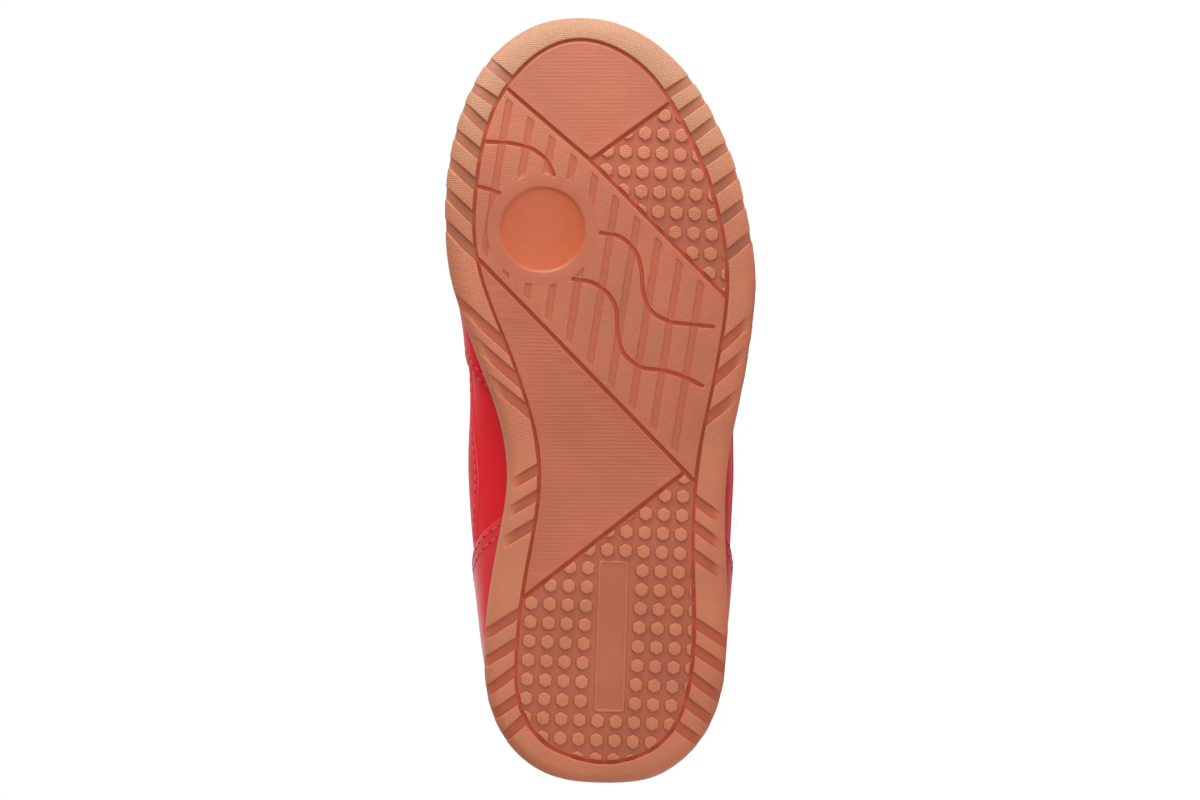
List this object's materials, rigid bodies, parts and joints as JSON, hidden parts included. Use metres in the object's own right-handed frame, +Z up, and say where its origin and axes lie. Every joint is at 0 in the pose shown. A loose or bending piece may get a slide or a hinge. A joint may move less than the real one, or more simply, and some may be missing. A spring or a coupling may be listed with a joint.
{
  "type": "indoor court shoe",
  "caption": "Low laced court shoe lying on its side: moulded gum rubber cup sole with pivot bowl, studs and ribbed rim, and a hollow stitched synthetic leather upper with overlays and tongue.",
  "frame": {"origin": "middle of the bounding box, on the floor the shoe lies on", "axes": "+X from heel to toe, +Y from the tread towards the collar, +Z up from the floor under the lateral side"},
  "size_m": [0.224, 0.0776, 0.0937],
  "materials": {
    "gum_rubber": "matte",
    "red_synthetic_leather": "gloss",
    "red_overlay_leather": "gloss",
    "red_tongue_cloth": "matte",
    "insole_cloth": "matte",
    "red_lace": "matte"
  },
  "bodies": {
    "root": {"outsole": "gum_rubber", "insole": "insole_cloth", "upper": "red_synthetic_leather", "toe_guard": "red_overlay_leather", "heel_counter": "red_overlay_leather", "eyestay": "red_overlay_leather", "tongue": "red_tongue_cloth", "lace": "red_lace"}
  },
  "joints": []
}
